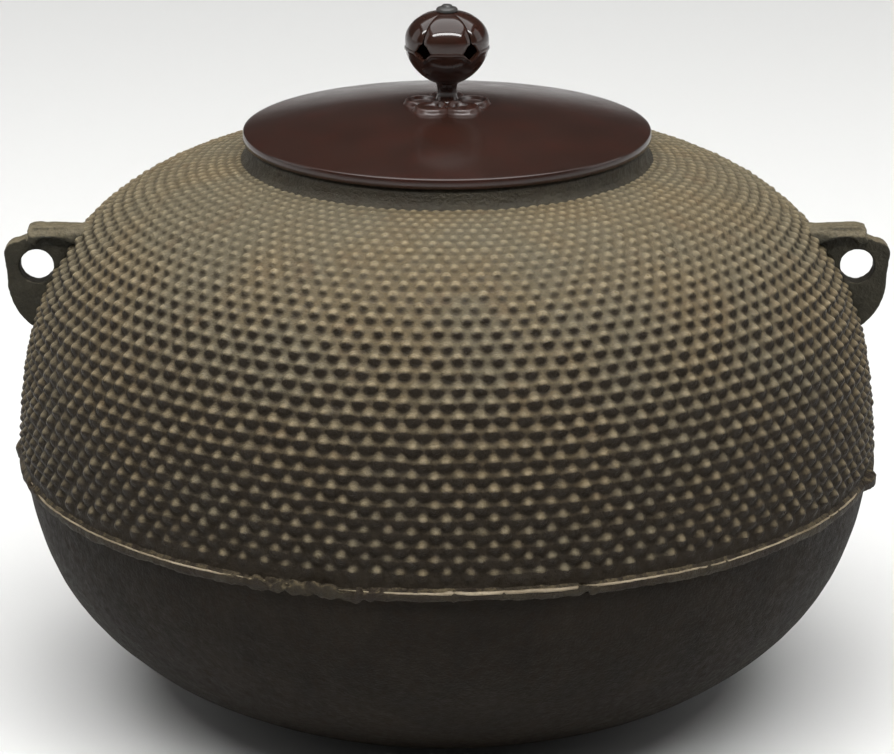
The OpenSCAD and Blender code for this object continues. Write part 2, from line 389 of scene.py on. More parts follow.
def build_hailstone_bands(settings):
    """The upper casting's wall in closed rings, which meet in the rows between stones."""
    stones = Hailstones(settings)
    columns = stones.per_ring * settings.steps_per_stone
    end = stones.lengths[-1]
    marks = list(FOOT_MARKS)
    for low, high in zip(stones.rows, stones.rows[1:]):
        marks += spread(low, high, STEPS_PER_ROW)[:-1]
    marks += spread(stones.rows[-1], end, STEPS_TO_NECK)
    names = ["hailstone_wall_low", "hailstone_wall_middle", "hailstone_wall_high"]
    per_band = math.ceil(len(marks) / len(names))
    for number, name in enumerate(names):
        part = marks[number * per_band: (number + 1) * per_band + 1]
        outer = [stones.at(length) for length in part]
        tucks = [(r - TUCK * out_r, z - TUCK * out_z) for r, z, out_r, out_z in (outer[-1], outer[0])]
        z_low = max(outer[0][1], LIP_TOP_Z + 0.5) if number == 0 else outer[0][1]
        z_high = INNER_NECK_Z if number == len(names) - 1 else outer[-1][1]
        inner = [(inner_wall_r(z), z) for z in spread(z_high, z_low, INNER_STEPS)]
        if number == 0:
            inner.append((inner_wall_r(z_low), outer[0][1]))
        outline = [(r, z) for r, z, _, _ in outer] + tucks[:1] + inner + tucks[1:]

        def shape(azimuth, r, z, row):
            if row >= len(part):
                return r, z, 0.0, 0.0
            length = part[row]
            _, _, out_r, out_z = outer[row]
            crest, hollow = stones.stone(azimuth, length, max(0, bisect.bisect(stones.rows, length) - 1))
            x, y = r * math.cos(azimuth), r * math.sin(azimuth)
            edge = smooth(min(length, end - length) / 2.0)
            cast = 0.16 * grain(x, y, z, 9.0) + 0.07 * grain(x, y, z, 2.3, 3.0)
            full = stones.lift_at(length)
            lift = edge * (full * (crest - HOLLOW_DEPTH * hollow) + cast)
            # The fourth value is the mask of the painted shadow under each stone, weaker where the stones are
            # lower.
            return r + out_r * lift, z + out_z * lift, crest, hollow * full / stones.lift

        bm = wrapped_grid(outline, columns, shape, attributes=("stone", "hollow"))
        to_piece(name, bm, "kettle", "hailstone_iron", "upper_body", sharp=45)


def build_neck():
    """The smooth neck with its rounded rim, which flares a little where it leaves the shoulder."""
    foot = NECK_Z - 0.5
    outline = [(NECK_R + 2.6, foot - 0.75), (NECK_R + 1.5, NECK_Z - 0.05), (NECK_R + 0.8, NECK_Z + 0.55),
               (NECK_R + 0.3, NECK_Z + 1.3), (NECK_R + 0.05, NECK_Z + 2.3), (NECK_R, NECK_Z + 3.4),
               (NECK_R - 0.05, MOUTH_Z - 0.8), (NECK_R - 0.35, MOUTH_Z - 0.28), (NECK_R - 0.9, MOUTH_Z),
               (MOUTH_R + 0.8, MOUTH_Z), (MOUTH_R + 0.25, MOUTH_Z - 0.2), (MOUTH_R, MOUTH_Z - 0.7),
               (MOUTH_R, MOUTH_Z - 3.0), (MOUTH_R, INNER_NECK_Z), (NECK_R - 0.5, foot - 1.6)]

    def shape(azimuth, r, z, point):
        x, y = r * math.cos(azimuth), r * math.sin(azimuth)
        wave = 0.10 * grain(x, y, z, 7.0, 5.0)
        return (r + wave, z) if 0 < point < 8 else (r, z)

    bm = turned(outline, ROUND_STEPS, shape)
    to_piece("neck", bm, "kettle", "hailstone_iron", "upper_body", look="neck_iron")


# ---------------------------------------------------------------- seam

SEAM_COLUMNS = 1300
SEAM_WAVE = 0.7
# Where the two broken casting gates are, how far each stands out, and half its width
NUB_AZIMUTHS = (math.pi, math.radians(-14))
NUB_OUT = 1.7
NUB_HALF = math.radians(3.4)
# The crumbled stretch beside the front: the angle from the front to its middle, and half its width
CRUMBLED_AT = math.radians(-18)
CRUMBLED_HALF = math.radians(12)
CRUMB_DROP = 2.0
CRUMB_OUT = 1.5
# The bead: its section's place and radius, the thick stretch beside the front and the lump in it
BEAD_MID_R = FLANGE_R - 0.75
BEAD_Z = FLANGE_TOP_Z - 0.42
BEAD_R = 0.4
BEAD_SIDES = 10
THICK_AT = math.radians(9)
THICK_HALF = math.radians(17)
LUMP_AT = math.radians(0.3)
LUMP_HALF = 0.013


def from_front(azimuth):
    """Angle from the front, which is at -Y."""
    return wrapped(azimuth + math.pi / 2)


def nub(azimuth):
    """How far the broken casting gates stand out from the flange at an azimuth."""
    return sum(NUB_OUT * hump(wrapped(azimuth - at), NUB_HALF) ** 0.6 for at in NUB_AZIMUTHS)


def seam_wave(azimuth):
    """Height of the wavering seam line above its middle, at an azimuth."""
    wave = 0.55 * ring_grain(azimuth, 0.55, 11.0) + 0.35 * ring_grain(azimuth, 0.17, 7.0)
    return SEAM_WAVE * (wave + 0.16 * ring_grain(azimuth, 0.05, 2.0))


def ragged(azimuth, seed):
    """Rough fracture noise round the flange, from about -1 to 1."""
    coarse = 0.6 * ring_grain(azimuth, 0.12, seed) + 0.4 * ring_grain(azimuth, 0.035, seed + 4)
    return coarse + 0.25 * ring_grain(azimuth, 0.014, seed + 9)


def crumbled(azimuth):
    """Where the flange's edge is crumbled away, from 0 to 1."""
    front = hump(from_front(azimuth) - CRUMBLED_AT, CRUMBLED_HALF) ** 0.5
    return max(front, smooth((ragged(azimuth, 71.0) - 0.15) / 0.25))


def build_flange():
    """The broken-back flange of the upper casting, with a ragged lower edge that hangs over the bowl."""
    out = FLANGE_R - 0.45
    wall_r = BODY_R - 0.4
    inner_r = BODY_R - 3.6
    outline = [(wall_r, FLANGE_TOP_Z + 0.9), (wall_r + 0.55, FLANGE_TOP_Z + 0.25),
               (out - 0.45, FLANGE_TOP_Z - 0.25), (out - 0.1, FLANGE_TOP_Z - 0.6), (out, FLANGE_TOP_Z - 1.1),
               (out - 0.1, SEAM_Z + 0.6), (out - 0.35, SEAM_Z + 0.15), (out - 0.8, SEAM_Z - 0.2),
               (out - 1.6, SEAM_Z - 0.1), (inner_r, SEAM_Z + 0.02), (inner_r, FLANGE_TOP_Z + 0.9)]
    last_broken = 8
    edge_points = (5, 6, 7)

    def shape(azimuth, r, z, point):
        if point > last_broken:
            return r, z
        rise = seam_wave(azimuth)
        if point == 0:
            return r, z + rise
        crumb = crumbled(azimuth) * ring_grain(azimuth, 0.017, 81.0, 0.005 * point)
        rough = 0.42 * ragged(azimuth, 21.0 + point * 0.5) + CRUMB_OUT * crumb
        if point < edge_points[0]:
            drop = 0.3 * ragged(azimuth, 44.0)
        else:
            drop = 0.95 * ragged(azimuth, 31.0 + point * 0.15) - 0.35
        chip = 0.6 * smooth((ragged(azimuth, 52.0) - 0.25) / 0.35) if point in edge_points else 0.0
        reach = nub(azimuth) * (1.0 if 1 < point < last_broken else 0.5)
        new_r = min(FLANGE_R - 0.05 + reach, r + rough * 0.7 + reach - chip)
        return new_r, z + rise + drop + CRUMB_DROP * crumb + 0.5 * chip

    bm = wrapped_grid(outline, SEAM_COLUMNS, shape)
    to_piece("broken_flange", bm, "kettle", "hailstone_iron", "upper_body", sharp=50, look="flange_iron")


def build_seam_lacquer():
    """The tan lacquer bead along the flange's top edge, and the film of lacquer in the joint below it."""
    turns = [2 * math.pi * i / BEAD_SIDES for i in range(BEAD_SIDES)]
    outline = [(BEAD_MID_R + BEAD_R * math.cos(turn), BEAD_Z + BEAD_R * math.sin(turn)) for turn in turns]

    def shape(azimuth, r, z, point):
        thick = 0.62 + 0.30 * ragged(azimuth, 63.0)
        thick += 0.75 * hump(from_front(azimuth) - THICK_AT, THICK_HALF)
        thick += 0.9 * hump(from_front(azimuth) - LUMP_AT, LUMP_HALF)
        gone = max(crumbled(azimuth), smooth((0.42 - abs(math.sin(azimuth))) / 0.14))
        thick = max(0.3, thick * (1 - 0.6 * gone))
        lane = 0.14 * ring_grain(azimuth, 0.03, 17.0) + 0.10 * ring_grain(azimuth, 0.012, 13.0)
        new_r = BEAD_MID_R + (r - BEAD_MID_R) * min(1.15, thick) * 1.2 + nub(azimuth) * 0.5 - 0.9 * gone
        return min(FLANGE_R - 0.02, new_r), BEAD_Z + (z - BEAD_Z) * thick + seam_wave(azimuth) + lane

    bead = wrapped_grid(outline, SEAM_COLUMNS, shape)
    to_piece("seam_lacquer_bead", bead, "kettle", "iron_lacquer", "seam_lacquer")
    film_in = LIP_R + 0.02
    film_out = LIP_R + FILM_T
    joint_r = BODY_R - 2.0
    film = [(film_in, BOWL_EDGE_Z), (joint_r, BOWL_EDGE_Z), (joint_r, SEAM_Z), (film_out, SEAM_Z),
            (film_out, FILM_TOP_Z), (film_in, FILM_TOP_Z)]
    to_piece("seam_lacquer_film", turned(film, 180), "kettle", "iron_lacquer", "seam_lacquer")


# ---------------------------------------------------------------- bowl

def build_bowl():
    """The lower bowl: a fine-grained casting with a flat base and an inner lip."""
    outer = [(r, BOWL_TOP_Z - z) for r, z in squared_arc(
        BOWL_R, BOWL_DEPTH, BOWL_POWER, BOWL_TOP_Z - BOWL_EDGE_Z, BOWL_TOP_Z, 54)]
    inner = [(r, BOWL_TOP_Z - z) for r, z in squared_arc(
        BOWL_R - WALL, BOWL_DEPTH - WALL, BOWL_POWER, BOWL_TOP_Z - BOWL_EDGE_Z + 4, BOWL_TOP_Z - FLOOR_Z, 24)]
    base_r = outer[-1][0]
    base = [(base_r - 0.6, 0.0), (base_r * 0.6, 0.0), (0.0, 0.0)]
    floor = [(0.0, FLOOR_Z), (inner[-1][0] * 0.5, FLOOR_Z)]
    lip = [(LIP_R - LIP_T, BOWL_EDGE_Z - 3), (LIP_R - LIP_T, LIP_TOP_Z - 0.3), (LIP_R - 3.0, LIP_TOP_Z),
           (LIP_R - 0.4, LIP_TOP_Z), (LIP_R, LIP_TOP_Z - 0.4), (LIP_R, BOWL_EDGE_Z)]
    outline = floor + inner[::-1] + lip + outer + base
    first_outer = len(floor) + len(inner) + len(lip)
    last_outer = first_outer + len(outer) - 2

    def shape(azimuth, r, z, point):
        if not first_outer <= point <= last_outer:
            return r, z
        x, y = r * math.cos(azimuth), r * math.sin(azimuth)
        fade = smooth(z / 6) * smooth((BOWL_EDGE_Z - z + 0.8) / 3)
        lift = fade * (0.30 * grain(x, y, z * 0.7, 24.0, 8.0) + 0.16 * grain(x, y, z, 6.5, 1.0))
        return r + lift, z

    to_piece("bowl", wrapped_grid(outline, 360, shape, closed=False), "kettle", "bowl_iron", "lower_body")


def build_sounding_plates():
    """The five iron plates stuck to the bottom inside, and the lacquer under them."""
    for node, slot in (("sounding_plates", "plate_iron"), ("plate_lacquer", "iron_lacquer")):
        bm = cast_copy(node, 0.4, 2)
        for vert in bm.verts:
            x, y, z = vert.co / MM
            if z > FLOOR_Z + 0.3:
                vert.co.z += (0.14 * grain(x, y, z, 1.7, 3.0) + 0.16 * grain(x, y, z, 5.0)) * MM
        to_piece(node + "_cast", bm, "kettle", slot, node)


# ---------------------------------------------------------------- lugs

EAR_HALF_T = 2.9
HOOD_UNDER_Z = 137.9
HOOD_T = 2.9
# The hood's underside droops near the wall, its top tapers, and its end bends out from an x on
HOOD_ROOT_DROP = 2.0
HOOD_ROOT_X = 115.0
HOOD_ROOT_SPAN = 9.0
HOOD_TAPER = 0.36
HOOD_REACH = 2.6
HOOD_BEND_X = 111.0
HOOD_BEND = 6.0
# How far from a hole's wall the surface still counts as its inside, where the lugs get painted shade
BORE_EDGE = 0.5


def build_lugs():
    """The two ring lugs: pierced ears under bent hoods, with the soft edges of the mould."""
    holes = {mount["name"]: mount for mount in frame["record"]["mounts"]}
    for side in ("left", "right"):
        node = side + "_lug"
        bm = cast_copy(node, 0.32, 2)
        bore_shade = bm.verts.layers.float.new("bore_shade")
        low, high = node_box(node)
        hole = holes[side + "_ring_hole"]
        hole_x, _, hole_z = (number / MM for number in hole["pos_m"])
        hole_r = hole["dims"]["r_mm"]
        for vert in bm.verts:
            x, y, z = vert.co / MM
            # Mask of the painted shade: 1 on the ring hole's inside, fading out past its wall.
            vert[bore_shade] = 1 - smooth((math.hypot(x - hole_x, z - hole_z) - hole_r) / BORE_EDGE)
            up = smooth((z - HOOD_UNDER_Z) / HOOD_T)
            if abs(y) > EAR_HALF_T and up < 0.5:
                z -= HOOD_ROOT_DROP * smooth((HOOD_ROOT_X - abs(x)) / HOOD_ROOT_SPAN) * (1 - 2 * up)
            y *= 1 - HOOD_TAPER * up
            out = HOOD_REACH * up * smooth((abs(x) - HOOD_BEND_X) / HOOD_BEND)
            x += math.copysign(out, x)
            push = 0.13 * grain(x, y, z, 3.1, 4.0) + 0.09 * grain(x, y, z, 1.2, 9.0)
            moved = Vector((x, y, z)) + vert.normal * push
            moved.x = max(low.x, min(high.x, moved.x))
            vert.co = moved * MM
        to_piece(node + "_cast", bm, "kettle", "lug_iron", node)


# ---------------------------------------------------------------- lid

LID_FLAT_R = 13.5
LID_T = 2.2
EDGE_H = 2.9
EDGE_INNER_R = 50.9
UNDERSIDE_R = 50.2
PIN_HOLE_R = 1.4
LID_STEPS = 40
UNDERSIDE_STEPS = 12


def lid_surface(r):
    """Height of the lid's top at a radius: a low crown that flattens out inside its rim."""
    edge_z = lid_low.z + EDGE_H
    crown = lid_high.z - edge_z
    span = lid_high.x - 0.7 - LID_FLAT_R
    return edge_z + crown * (1 - (max(0.0, r - LID_FLAT_R) / span) ** 1.5)


def build_lid():
    """The bronze lid plate, turned smooth, with a rounded upright edge."""
    rim = lid_high.x
    under = lid_low.z
    radii = [PIN_HOLE_R, 6.0] + spread(LID_FLAT_R, rim - 1.2, LID_STEPS)
    upper = [(r, lid_surface(r)) for r in radii]
    edge_z = under + EDGE_H
    edge = [(rim - 0.55, edge_z - 0.06), (rim - 0.2, edge_z - 0.22), (rim, edge_z - 0.6), (rim, under + 0.4),
            (rim - 0.15, under + 0.12), (rim - 0.5, under), (EDGE_INNER_R, under)]
    below = spread(UNDERSIDE_R, LID_FLAT_R, UNDERSIDE_STEPS) + [PIN_HOLE_R]
    lower = [(r, lid_surface(r) - LID_T) for r in below]
    outline = upper + edge + lower
    to_piece("lid_dome", turned(outline, ROUND_STEPS), "lid", "lid_bronze", "lid_plate", sharp=35)


def build_lid_fittings():
    """Finishes for the ring and the washer under the lid, which keep their CAD shapes."""
    for node in ("lid_ring", "pin_washer"):
        for holder in frame["nodes"][node].material_slots:
            holder.link = "OBJECT"
            holder.material = finish("lid_bronze")


# ---------------------------------------------------------------- knob

PETALS = 5
FIRST_PETAL = -math.pi / 2
PETAL_TURN = 2 * math.pi / PETALS
PETAL_RISE = 9.9
PETAL_POWER = 2.3
CUP_DEPTH = 11.6
CUP_POWER = 1.78
SHELL = 1.2
OPENING_HALF = 2.75
# How far below its rim the cup still follows the dips at the openings
DIP_DEPTH = 7.0
# Mesh faces across and up a petal, and the radius at which the petals end under the button
PETAL_ACROSS = 28
PETAL_ALONG = 30
PETAL_END_R = 2.3
PIN_R = 1.25
# How far down from its top the button is dented
DENTED_DEPTH = 1.5


def from_petal(azimuth):
    """Angle from the middle of the nearest petal."""
    return (azimuth - FIRST_PETAL + PETAL_TURN / 2) % PETAL_TURN - PETAL_TURN / 2


# Each petal of the seat is a round lobe of this radius, at this distance from the axis
LOBE_R = 5.4
LOBE_OUT = 7.6
SEAT_HOLE_R = 2.2
SEAT_ROWS = 44


def build_seat():
    """The five-petalled flower seat under the stem, each petal with a raised outline."""
    base_z = lid_high.z

    def shape(azimuth, r, z, point):
        off = from_petal(azimuth + PETAL_TURN / 2)
        rim = LOBE_OUT * math.cos(off) + math.sqrt(LOBE_R ** 2 - (LOBE_OUT * math.sin(off)) ** 2)
        if point > SEAT_ROWS:
            return (rim + 0.15 if point == SEAT_ROWS + 1 else SEAT_HOLE_R), base_z - 0.05
        at = SEAT_HOLE_R + (rim - SEAT_HOLE_R) * point / SEAT_ROWS
        inside = LOBE_R - math.hypot(at * math.cos(off) - LOBE_OUT, at * math.sin(off))
        ridge = hump(inside - 1.0, 1.2)
        hub = 0.7 * smooth((4.8 - at) / 1.6)
        height = 0.45 + 1.05 * ridge + hub
        height *= smooth((rim - at) / 0.7) * 0.85 + 0.15
        return at, base_z + height

    points = [(SEAT_HOLE_R, base_z)] * (SEAT_ROWS + 3)
    bm = wrapped_grid(points, 360, shape)
    to_piece("flower_seat", bm, "lid", "knob_bronze", "knob_seat", sharp=50, look="seat_bronze")


def build_cup():
    """The knob's stem and the lower half of its hollow bud, whose rim dips at the openings."""
    stem_top = BUD_MID_Z - squared_z(BUD_R, CUP_DEPTH, CUP_POWER, 3.4)
    outer = [(r, BUD_MID_Z - z) for r, z in squared_arc(
        BUD_R, CUP_DEPTH, CUP_POWER, 0.0, BUD_MID_Z - stem_top, 26)][::-1]
    inner = [(r, BUD_MID_Z - z) for r, z in squared_arc(
        BUD_R - SHELL, CUP_DEPTH - SHELL, CUP_POWER, 0.0, CUP_DEPTH - SHELL - 0.5, 14)]
    foot = [(1.3, -0.6), (4.5, -0.6), (4.1, -0.1), (3.5, 0.5), (3.05, 1.3), (2.85, 2.4), (2.8, 4.0)]
    stem = [(r, SEAT_TOP_Z + z) for r, z in foot] + [(2.95, stem_top - 0.9), (3.15, stem_top - 0.3)]
    outline = stem + outer + inner + [(1.3, inner[-1][1])]
    first = len(stem)
    last = first + len(outer) + len(inner)

    def shape(azimuth, r, z, point):
        if not first <= point < last or z < BUD_MID_Z - DIP_DEPTH:
            return r, z
        off = (PETAL_TURN / 2 - abs(from_petal(azimuth))) * BUD_R
        dip = 2.0 * max(0.0, 1 - off / (OPENING_HALF * 1.06)) ** 0.9 + 0.55 * hump(off, 5.2)
        share = smooth((z - BUD_MID_Z + DIP_DEPTH) / DIP_DEPTH)
        new_z = z - dip * share
        outside = point < first + len(outer)
        radius, depth = (BUD_R, CUP_DEPTH) if outside else (BUD_R - SHELL, CUP_DEPTH - SHELL)
        new_r = squared_r(radius, depth, CUP_POWER, BUD_MID_Z - new_z)
        lip = 0.42 * hump(z - BUD_MID_Z + 0.55, 0.8) if outside else 0.0
        return min(BUD_R + 0.2, new_r + lip), new_z

    to_piece("bud_cup", turned(outline, 300, shape), "lid", "knob_bronze", "knob_cup", sharp=45)


def build_petals():
    """Five petals that close over the cup, parted by spade-shaped openings and fine grooves."""
    bm = bmesh.new()
    end_rise = squared_z(BUD_R, PETAL_RISE, PETAL_POWER, PETAL_END_R)
    for number in range(PETALS):
        middle = FIRST_PETAL + number * PETAL_TURN
        made = bmesh.ops.create_grid(bm, x_segments=PETAL_ACROSS, y_segments=PETAL_ALONG, size=0.5)
        for vert in made["verts"]:
            side = vert.co.x * 2
            share = vert.co.y + 0.5
            rise = end_rise * share ** 1.15
            gap = OPENING_HALF * max(0.0, 1 - rise / 2.4) ** 0.7
            gap = max(gap, 0.42 * max(0.0, 1 - rise / 7.5), 0.07)
            r = squared_r(BUD_R, PETAL_RISE, PETAL_POWER, rise)
            half = PETAL_TURN / 2 - gap / max(r, 1.0)
            bulge = 1 - abs(side) ** 3.2
            swell = 0.30 * bulge * smooth(rise / 4) - 0.32 * abs(side) ** 10
            sill = -0.5 * hump((1 - abs(side)) * half * r, 2.6) * (1 - smooth(rise / 2.0))
            place(vert, middle + side * half, min(BUD_R + 0.15, r + swell), BUD_MID_Z + rise + sill)
    bmesh.ops.recalc_face_normals(bm, faces=bm.faces)
    for face in bm.faces:
        centre = face.calc_center_median()
        if face.normal.dot(Vector((centre.x, centre.y, centre.z - BUD_MID_Z * MM))) < 0:
            face.normal_flip()
    bmesh.ops.solidify(bm, geom=bm.faces, thickness=SHELL * MM)
    bmesh.ops.recalc_face_normals(bm, faces=bm.faces)
    petals = to_piece("bud_petals", bm, "lid", "knob_bronze", "knob_petals", sharp=50)
    rounding = petals.modifiers.new("rounded_edges", "BEVEL")
    rounding.width = 0.16 * MM
    rounding.segments = 2
    rounding.limit_method = "ANGLE"
    rounding.angle_limit = math.radians(50)


def build_pin():
    """The pin through the knob, with its button on top and its peened end under the washer."""
    top = pin_high.z
    peened = [(0.0, 0.0), (1.4, 0.0), (2.0, 0.25), (2.2, 0.7), (2.1, 1.2), (PIN_R, 1.2)]
    button = [(PIN_R, 2.2), (2.7, 2.2), (3.0, 2.05), (3.1, 1.7), (3.05, 1.3), (2.75, 0.95), (2.2, 0.75),
              (1.6, 0.6), (1.45, 0.25), (1.1, 0.06), (0.5, 0.0), (0.0, 0.0)]
    outline = [(r, pin_low.z + up) for r, up in peened] + [(r, top - down) for r, down in button]

    def shape(azimuth, r, z, point):
        dent = 0.10 * grain(r * math.cos(azimuth), r * math.sin(azimuth), z, 1.6, 6.0)
        new_r = r + dent if r > PIN_R + 0.05 else r
        return new_r, z + (min(0.0, dent) if z > top - DENTED_DEPTH else 0.0)

    bm = turned(outline, 72, shape, closed=False)
    to_piece("knob_button", bm, "lid", "knob_bronze", "knob_pin", look="button_bronze")


# ---------------------------------------------------------------- materials

def map_range(tree, value, low, high, start, end):
    """A node that maps low..high of a value to start..end, and holds it there."""
    node = tree.nodes.new("ShaderNodeMapRange")
    for key, number in (("From Min", low), ("From Max", high), ("To Min", start), ("To Max", end)):
        node.inputs[key].default_value = number
    tree.links.new(value, node.inputs["Value"])
    return node


class Nodes:
    """A short way to write a material's node tree. Sizes are in millimetres."""

    def __init__(self, name):
        self.material = bpy.data.materials.new(name + "_finish")
        self.material.use_nodes = True
        self.tree = self.material.node_tree
        self.shader = self.tree.nodes["Principled BSDF"]
        self.place = self.tree.nodes.new("ShaderNodeTexCoord").outputs["Object"]

    def link(self, source, target):
        self.tree.links.new(source, target)

    def noise(self, size, detail=4.0, roughness=0.55, stretch=(1, 1, 1)):
        """Noise whose features are about size millimetres across."""
        mapping = self.tree.nodes.new("ShaderNodeMapping")
        mapping.inputs["Scale"].default_value = stretch
        self.link(self.place, mapping.inputs["Vector"])
        node = self.tree.nodes.new("ShaderNodeTexNoise")
        node.inputs["Scale"].default_value = 1 / (size * MM)
        node.inputs["Detail"].default_value = detail
        node.inputs["Roughness"].default_value = roughness
        self.link(mapping.outputs["Vector"], node.inputs["Vector"])
        return node.outputs["Fac"]

    def attribute(self, name):
        """A value that the mesh's points hold."""
        node = self.tree.nodes.new("ShaderNodeAttribute")
        node.attribute_name = name
        return node.outputs["Fac"]

    def slope(self):
        """Upward part of the surface's direction."""
        geometry = self.tree.nodes.new("ShaderNodeNewGeometry")
        node = self.tree.nodes.new("ShaderNodeSeparateXYZ")
        self.link(geometry.outputs["Normal"], node.inputs["Vector"])
        return node.outputs["Z"]

    def ramp(self, value, low, high, start=0.0, end=1.0):
        """Maps low..high of a value to start..end, and holds it there."""
        return map_range(self.tree, value, low, high, start, end).outputs["Result"]

    def mix(self, share, first, second):
        """Mixes two colours, each a colour or a socket, by a share that is a socket."""
        node = self.tree.nodes.new("ShaderNodeMix")
        node.data_type = "RGBA"
        for key, value, kind in (("Factor", share, "VALUE"), ("A", first, "RGBA"), ("B", second, "RGBA")):
            socket = next(socket for socket in node.inputs if socket.name == key and socket.type == kind)
            if isinstance(value, bpy.types.NodeSocket):
                self.link(value, socket)
            else:
                socket.default_value = (*value, 1.0)
        return next(socket for socket in node.outputs if socket.type == "RGBA")

    def math(self, operation, first, second):
        """A sum on two values, each a number or a socket."""
        node = self.tree.nodes.new("ShaderNodeMath")
        node.operation = operation
        for socket, value in zip(node.inputs, (first, second)):
            if isinstance(value, bpy.types.NodeSocket):
                self.link(value, socket)
            else:
                socket.default_value = value
        return node.outputs["Value"]

    def colour(self, socket):
        self.link(socket, self.shader.inputs["Base Color"])

    def gloss(self, socket):
        self.link(socket, self.shader.inputs["Roughness"])

    def patchy(self, first, second, size, edge, most=1.0, detail=3, roughness=0.55, stretch=(1, 1, 1)):
        """A colour with patches of another; edge is where the patches' border fades."""
        share = self.ramp(self.noise(size, detail, roughness, stretch), *edge, 0.0, most)
        return self.mix(share, first, second)

    def pitted(self, base, pit_colour, size, depth, high=0.55, roughness=0.75):
        """A colour that darkens in small scattered pits."""
        return self.mix(self.ramp(self.noise(size, 3, roughness), 0.3, high, depth, 0.0), base, pit_colour)

    def mottled_gloss(self, size, low, high, detail=4):
        """Roughness that wanders between two values."""
        self.gloss(self.ramp(self.noise(size, detail), 0.3, 0.7, low, high))

    def set(self, **values):
        """Sets sockets of the shader itself, with underscores for the spaces in their names."""
        for key, value in values.items():
            self.shader.inputs[key.replace("_", " ")].default_value = value

    def bumps(self, *layers):
        """Stacks bumps; each layer is (height socket, depth in millimetres, strength)."""
        normal = None
        for height, depth, strength in layers:
            node = self.tree.nodes.new("ShaderNodeBump")
            node.inputs["Distance"].default_value = depth * MM
            node.inputs["Strength"].default_value = strength
            self.link(height, node.inputs["Height"])
            if normal is not None:
                self.link(normal, node.inputs["Normal"])
            normal = node.outputs["Normal"]
        self.link(normal, self.shader.inputs["Normal"])


def scaled(colour, *factors):
    """A colour with all its channels times one factor, or each channel times its own."""
    if len(factors) == 1:
        factors *= 3
    return tuple(channel * factor for channel, factor in zip(colour, factors))


def hailstone_iron(looks):
    """Matt olive lacquer over cast iron, with painted light: a painted highlight towards each stone's crest,
    dark brown painted shade where the surface does not face up, and a painted shadow in the hollow under each
    stone.
    """
    m = Nodes("hailstone_iron")
    olive = looks.hailstone[:]
    dark = scaled(olive, 0.105, 0.080, 0.050)
    crest = m.attribute("stone")
    patch = m.ramp(m.noise(34, 3), 0.4, 0.6)
    # top is a lit tone of the lacquer and gap a shaded one.
    top = m.mix(patch, scaled(olive, 1.60), scaled(olive, 1.85, 1.76, 1.66))
    gap = m.mix(patch, scaled(olive, 0.80), scaled(olive, 0.86, 0.78, 0.68))
    # Painted highlight: the lit tone towards each stone's crest.
    base = m.mix(m.ramp(crest, 0.3, 0.95), gap, top)
    base = m.patchy(base, scaled(olive, 0.50), 1.3, (0.42, 0.60), 0.35, roughness=0.7)
    base = m.patchy(base, scaled(olive, 0.75, 0.52, 0.38), 11, (0.56, 0.68), 0.30, 5, 0.65)
    # Painted shade: facing_up and the mix below turn the surface dark brown where it does not face up, as if
    # lit from above.
    facing_up = m.math("ADD", m.slope(), m.math("MULTIPLY", m.math("SUBTRACT", m.noise(2.2, 3), 0.5), 0.4))
    base = m.mix(m.ramp(facing_up, 0.20, 0.66), dark, base)
    # Painted shadow: dark brown in the hollow under each stone.
    m.colour(m.mix(m.ramp(m.attribute("hollow"), 0.08, 0.8, 0.0, 0.82), base, dark))
    m.gloss(m.ramp(m.math("ADD", m.math("MULTIPLY", crest, -0.35), m.noise(4, 4)), 0.0, 0.6, 0.26, 0.8))
    m.set(Specular_IOR_Level=0.22)
    m.bumps((m.noise(1.1, 3, 0.7), 0.9, 0.8), (m.noise(3.0, 3), 1.2, 0.6))
    return m.material


def plain_iron(name, colour, rust_colour, grain_mm, gloss=(0.45, 0.7), depth=0.25, streak=(1, 1, 1),
               shine=0.3):
    """Bare or lacquered cast iron with a granular skin, patches and darker pits."""
    m = Nodes(name)
    base = m.patchy(scaled(colour, 0.78), scaled(colour, 1.25), grain_mm * 16, (0.35, 0.68), detail=4,
                    roughness=0.6, stretch=streak)
    base = m.patchy(base, rust_colour, grain_mm * 6, (0.5, 0.72), 0.6, 5, 0.65)
    m.colour(m.pitted(base, scaled(colour, 0.45), grain_mm, 0.55))
    m.mottled_gloss(grain_mm * 3, *gloss)
    m.set(Specular_IOR_Level=shine)
    m.bumps((m.noise(grain_mm, 3, 0.75), depth * 3, 0.8), (m.noise(grain_mm * 4, 4), depth * 5, 0.5))
    return m.material


def neck_iron(looks):
    """The same lacquer as the hailstones', darker on the smooth neck: partly the neck's own tone, partly
    painted shade under the lid's overhang.
    """
    # The factor 0.28 is partly painted shade under the lid's overhang.
    colour = scaled(looks.hailstone[:], 0.28)
    return plain_iron("neck_iron", colour, scaled(colour, 0.9, 0.7, 0.55), 1.0)


